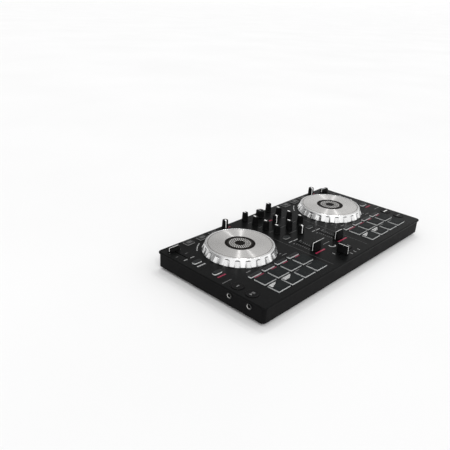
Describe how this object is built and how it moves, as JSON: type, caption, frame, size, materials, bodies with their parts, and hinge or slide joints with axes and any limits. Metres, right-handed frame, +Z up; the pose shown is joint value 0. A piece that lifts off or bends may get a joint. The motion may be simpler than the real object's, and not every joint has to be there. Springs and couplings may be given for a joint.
{
  "type": "dj controller",
  "caption": "Low wide two-deck DJ controller: jog wheels, pads, keys, knobs and faders on a black panel over a shallow case with rubber feet.",
  "frame": {"origin": "middle of the footprint, on the surface that the feet stand on", "axes": "+X to the right deck, +Y to the back, +Z up"},
  "size_m": [0.554, 0.272, 0.0587],
  "materials": {
    "panel_black": "semi-gloss moulded",
    "case_black": "fine textured",
    "foot_rubber": "matt",
    "screw_steel": "blackened",
    "board_green": "solder mask",
    "pot_metal": "plain",
    "bearing_acetal": "turned",
    "socket_metal": "nickel plated",
    "jog_silver": "silver paint",
    "jog_metal": "spun",
    "fader_black": "satin",
    "knob_rubber": "soft touch",
    "pad_white": "translucent silicone, dark top",
    "key_white": "translucent, dark top",
    "key_smoke": "smoked translucent",
    "button_black": "satin"
  },
  "bodies": {
    "chassis": {"top_panel": "panel_black", "bottom_case": "case_black", "rubber_feet": "foot_rubber", "case_screws": "screw_steel", "control_boards": "board_green", "potentiometers": "pot_metal", "jog_bearings": "bearing_acetal", "side_jacks": "socket_metal", "rear_sockets": "socket_metal"},
    "left_jog": {"left_jog_ring": "jog_silver", "left_jog_plate": "jog_metal"},
    "right_jog": {"right_jog_ring": "jog_silver", "right_jog_plate": "jog_metal"},
    "crossfader": {"crossfader": "fader_black"},
    "left_channel_fader": {"left_channel_fader": "fader_black"},
    "right_channel_fader": {"right_channel_fader": "fader_black"},
    "left_tempo_fader": {"left_tempo_fader": "fader_black"},
    "right_tempo_fader": {"right_tempo_fader": "fader_black"},
    "left_trim_knob": {"left_trim_knob": "knob_rubber"},
    "left_high_knob": {"left_high_knob": "knob_rubber"},
    "left_middle_knob": {"left_middle_knob": "knob_rubber"},
    "left_low_knob": {"left_low_knob": "knob_rubber"},
    "right_trim_knob": {"right_trim_knob": "knob_rubber"},
    "right_high_knob": {"right_high_knob": "knob_rubber"},
    "right_middle_knob": {"right_middle_knob": "knob_rubber"},
    "right_low_knob": {"right_low_knob": "knob_rubber"},
    "left_effect_knob": {"left_effect_knob": "knob_rubber"},
    "right_effect_knob": {"right_effect_knob": "knob_rubber"},
    "master_level_knob": {"master_level_knob": "knob_rubber"},
    "phones_mix_knob": {"phones_mix_knob": "knob_rubber"},
    "phones_level_knob": {"phones_level_knob": "knob_rubber"},
    "browse_shaft": {"browse_shaft": "screw_steel"},
    "browse_knob": {"browse_knob": "knob_rubber"},
    "left_pad_1": {"left_pad_1": "pad_white"},
    "left_pad_2": {"left_pad_2": "pad_white"},
    "left_pad_3": {"left_pad_3": "pad_white"},
    "left_pad_4": {"left_pad_4": "pad_white"},
    "left_pad_5": {"left_pad_5": "pad_white"},
    "left_pad_6": {"left_pad_6": "pad_white"},
    "left_pad_7": {"left_pad_7": "pad_white"},
    "left_pad_8": {"left_pad_8": "pad_white"},
    "right_pad_1": {"right_pad_1": "pad_white"},
    "right_pad_2": {"right_pad_2": "pad_white"},
    "right_pad_3": {"right_pad_3": "pad_white"},
    "right_pad_4": {"right_pad_4": "pad_white"},
    "right_pad_5": {"right_pad_5": "pad_white"},
    "right_pad_6": {"right_pad_6": "pad_white"},
    "right_pad_7": {"right_pad_7": "pad_white"},
    "right_pad_8": {"right_pad_8": "pad_white"},
    "left_play_button": {"left_play_button": "button_black"},
    "left_cue_button": {"left_cue_button": "button_black"},
    "right_play_button": {"right_play_button": "button_black"},
    "right_cue_button": {"right_cue_button": "button_black"},
    "left_mode_keys": {"left_mode_keys": "key_white"},
    "left_effect_keys": {"left_effect_keys": "key_smoke"},
    "left_side_keys": {"left_side_keys": "key_white"},
    "right_mode_keys": {"right_mode_keys": "key_white"},
    "right_effect_keys": {"right_effect_keys": "key_smoke"},
    "right_side_keys": {"right_side_keys": "key_white"},
    "phones_cue_keys": {"phones_cue_keys": "key_white"}
  },
  "joints": [
    {"name": "left_jog_spin", "type": "hinge", "parent": "chassis", "child": "left_jog", "pos_m": [-0.155, 0.0324, 0.0387], "axis": [0, 0, 1], "continuous": true},
    {"name": "right_jog_spin", "type": "hinge", "parent": "chassis", "child": "right_jog", "pos_m": [0.155, 0.0324, 0.0387], "axis": [0, 0, 1], "continuous": true},
    {"name": "crossfader_slide", "type": "slide", "parent": "chassis", "child": "crossfader", "axis": [1, 0, 0], "range_m": [-0.0125, 0.0325]},
    {"name": "left_channel_fader_slide", "type": "slide", "parent": "chassis", "child": "left_channel_fader", "axis": [0, 1, 0], "range_m": [0, 0.045]},
    {"name": "right_channel_fader_slide", "type": "slide", "parent": "chassis", "child": "right_channel_fader", "axis": [0, 1, 0], "range_m": [0, 0.045]},
    {"name": "left_tempo_fader_slide", "type": "slide", "parent": "chassis", "child": "left_tempo_fader", "axis": [0, 1, 0], "range_m": [-0.0385, 0.0065]},
    {"name": "right_tempo_fader_slide", "type": "slide", "parent": "chassis", "child": "right_tempo_fader", "axis": [0, 1, 0], "range_m": [-0.0385, 0.0065]},
    {"name": "left_trim_knob_turn", "type": "hinge", "parent": "chassis", "child": "left_trim_knob", "pos_m": [-0.04, 0.123, 0.0387], "axis": [0, 0, 1], "range_deg": [-150, 150]},
    {"name": "left_high_knob_turn", "type": "hinge", "parent": "chassis", "child": "left_high_knob", "pos_m": [-0.04, 0.0927, 0.0387], "axis": [0, 0, 1], "range_deg": [-150, 150]},
    {"name": "left_middle_knob_turn", "type": "hinge", "parent": "chassis", "child": "left_middle_knob", "pos_m": [-0.04, 0.0624, 0.0387], "axis": [0, 0, 1], "range_deg": [-150, 150]},
    {"name": "left_low_knob_turn", "type": "hinge", "parent": "chassis", "child": "left_low_knob", "pos_m": [-0.04, 0.0321, 0.0387], "axis": [0, 0, 1], "range_deg": [-150, 150]},
    {"name": "right_trim_knob_turn", "type": "hinge", "parent": "chassis", "child": "right_trim_knob", "pos_m": [0.04, 0.123, 0.0387], "axis": [0, 0, 1], "range_deg": [-150, 150]},
    {"name": "right_high_knob_turn", "type": "hinge", "parent": "chassis", "child": "right_high_knob", "pos_m": [0.04, 0.0927, 0.0387], "axis": [0, 0, 1], "range_deg": [-150, 150]},
    {"name": "right_middle_knob_turn", "type": "hinge", "parent": "chassis", "child": "right_middle_knob", "pos_m": [0.04, 0.0624, 0.0387], "axis": [0, 0, 1], "range_deg": [-150, 150]},
    {"name": "right_low_knob_turn", "type": "hinge", "parent": "chassis", "child": "right_low_knob", "pos_m": [0.04, 0.0321, 0.0387], "axis": [0, 0, 1], "range_deg": [-150, 150]},
    {"name": "left_effect_knob_turn", "type": "hinge", "parent": "chassis", "child": "left_effect_knob", "pos_m": [-0.103, 0.123, 0.0387], "axis": [0, 0, 1], "range_deg": [-300, 0]},
    {"name": "right_effect_knob_turn", "type": "hinge", "parent": "chassis", "child": "right_effect_knob", "pos_m": [0.207, 0.123, 0.0387], "axis": [0, 0, 1], "range_deg": [-300, 0]},
    {"name": "master_level_knob_turn", "type": "hinge", "parent": "chassis", "child": "master_level_knob", "pos_m": [0, 0.069, 0.0387], "axis": [0, 0, 1], "range_deg": [-300, 0]},
    {"name": "phones_mix_knob_turn", "type": "hinge", "parent": "chassis", "child": "phones_mix_knob", "pos_m": [0, 0.031, 0.0387], "axis": [0, 0, 1], "range_deg": [-150, 150]},
    {"name": "phones_level_knob_turn", "type": "hinge", "parent": "chassis", "child": "phones_level_knob", "pos_m": [0, 0, 0.0387], "axis": [0, 0, 1], "range_deg": [-300, 0]},
    {"name": "browse_push", "type": "slide", "parent": "chassis", "child": "browse_shaft", "axis": [0, 0, -1], "range_m": [0, 0.0008], "stiffness_N_per_m": 600, "springref_m": -0.0005},
    {"name": "browse_turn", "type": "hinge", "parent": "browse_shaft", "child": "browse_knob", "pos_m": [0, 0.114, 0.0387], "axis": [0, 0, 1], "continuous": true},
    {"name": "left_pad_1_press", "type": "slide", "parent": "chassis", "child": "left_pad_1", "axis": [0, 0, -1], "range_m": [0, 0.001], "stiffness_N_per_m": 600, "springref_m": -0.0005},
    {"name": "left_pad_2_press", "type": "slide", "parent": "chassis", "child": "left_pad_2", "axis": [0, 0, -1], "range_m": [0, 0.001], "stiffness_N_per_m": 600, "springref_m": -0.0005},
    {"name": "left_pad_3_press", "type": "slide", "parent": "chassis", "child": "left_pad_3", "axis": [0, 0, -1], "range_m": [0, 0.001], "stiffness_N_per_m": 600, "springref_m": -0.0005},
    {"name": "left_pad_4_press", "type": "slide", "parent": "chassis", "child": "left_pad_4", "axis": [0, 0, -1], "range_m": [0, 0.001], "stiffness_N_per_m": 600, "springref_m": -0.0005},
    {"name": "left_pad_5_press", "type": "slide", "parent": "chassis", "child": "left_pad_5", "axis": [0, 0, -1], "range_m": [0, 0.001], "stiffness_N_per_m": 600, "springref_m": -0.0005},
    {"name": "left_pad_6_press", "type": "slide", "parent": "chassis", "child": "left_pad_6", "axis": [0, 0, -1], "range_m": [0, 0.001], "stiffness_N_per_m": 600, "springref_m": -0.0005},
    {"name": "left_pad_7_press", "type": "slide", "parent": "chassis", "child": "left_pad_7", "axis": [0, 0, -1], "range_m": [0, 0.001], "stiffness_N_per_m": 600, "springref_m": -0.0005},
    {"name": "left_pad_8_press", "type": "slide", "parent": "chassis", "child": "left_pad_8", "axis": [0, 0, -1], "range_m": [0, 0.001], "stiffness_N_per_m": 600, "springref_m": -0.0005},
    {"name": "right_pad_1_press", "type": "slide", "parent": "chassis", "child": "right_pad_1", "axis": [0, 0, -1], "range_m": [0, 0.001], "stiffness_N_per_m": 600, "springref_m": -0.0005},
    {"name": "right_pad_2_press", "type": "slide", "parent": "chassis", "child": "right_pad_2", "axis": [0, 0, -1], "range_m": [0, 0.001], "stiffness_N_per_m": 600, "springref_m": -0.0005},
    {"name": "right_pad_3_press", "type": "slide", "parent": "chassis", "child": "right_pad_3", "axis": [0, 0, -1], "range_m": [0, 0.001], "stiffness_N_per_m": 600, "springref_m": -0.0005},
    {"name": "right_pad_4_press", "type": "slide", "parent": "chassis", "child": "right_pad_4", "axis": [0, 0, -1], "range_m": [0, 0.001], "stiffness_N_per_m": 600, "springref_m": -0.0005},
    {"name": "right_pad_5_press", "type": "slide", "parent": "chassis", "child": "right_pad_5", "axis": [0, 0, -1], "range_m": [0, 0.001], "stiffness_N_per_m": 600, "springref_m": -0.0005},
    {"name": "right_pad_6_press", "type": "slide", "parent": "chassis", "child": "right_pad_6", "axis": [0, 0, -1], "range_m": [0, 0.001], "stiffness_N_per_m": 600, "springref_m": -0.0005},
    {"name": "right_pad_7_press", "type": "slide", "parent": "chassis", "child": "right_pad_7", "axis": [0, 0, -1], "range_m": [0, 0.001], "stiffness_N_per_m": 600, "springref_m": -0.0005},
    {"name": "right_pad_8_press", "type": "slide", "parent": "chassis", "child": "right_pad_8", "axis": [0, 0, -1], "range_m": [0, 0.001], "stiffness_N_per_m": 600, "springref_m": -0.0005},
    {"name": "left_play_button_press", "type": "slide", "parent": "chassis", "child": "left_play_button", "axis": [0, 0, -1], "range_m": [0, 0.001], "stiffness_N_per_m": 600, "springref_m": -0.0005},
    {"name": "left_cue_button_press", "type": "slide", "parent": "chassis", "child": "left_cue_button", "axis": [0, 0, -1], "range_m": [0, 0.001], "stiffness_N_per_m": 600, "springref_m": -0.0005},
    {"name": "right_play_button_press", "type": "slide", "parent": "chassis", "child": "right_play_button", "axis": [0, 0, -1], "range_m": [0, 0.001], "stiffness_N_per_m": 600, "springref_m": -0.0005},
    {"name": "right_cue_button_press", "type": "slide", "parent": "chassis", "child": "right_cue_button", "axis": [0, 0, -1], "range_m": [0, 0.001], "stiffness_N_per_m": 600, "springref_m": -0.0005},
    {"name": "left_mode_keys_press", "type": "slide", "parent": "chassis", "child": "left_mode_keys", "axis": [0, 0, -1], "range_m": [0, 0.001], "stiffness_N_per_m": 600, "springref_m": -0.0005},
    {"name": "left_effect_keys_press", "type": "slide", "parent": "chassis", "child": "left_effect_keys", "axis": [0, 0, -1], "range_m": [0, 0.001], "stiffness_N_per_m": 600, "springref_m": -0.0005},
    {"name": "left_side_keys_press", "type": "slide", "parent": "chassis", "child": "left_side_keys", "axis": [0, 0, -1], "range_m": [0, 0.001], "stiffness_N_per_m": 600, "springref_m": -0.0005},
    {"name": "right_mode_keys_press", "type": "slide", "parent": "chassis", "child": "right_mode_keys", "axis": [0, 0, -1], "range_m": [0, 0.001], "stiffness_N_per_m": 600, "springref_m": -0.0005},
    {"name": "right_effect_keys_press", "type": "slide", "parent": "chassis", "child": "right_effect_keys", "axis": [0, 0, -1], "range_m": [0, 0.001], "stiffness_N_per_m": 600, "springref_m": -0.0005},
    {"name": "right_side_keys_press", "type": "slide", "parent": "chassis", "child": "right_side_keys", "axis": [0, 0, -1], "range_m": [0, 0.001], "stiffness_N_per_m": 600, "springref_m": -0.0005},
    {"name": "phones_cue_keys_press", "type": "slide", "parent": "chassis", "child": "phones_cue_keys", "axis": [0, 0, -1], "range_m": [0, 0.001], "stiffness_N_per_m": 600, "springref_m": -0.0005}
  ]
}
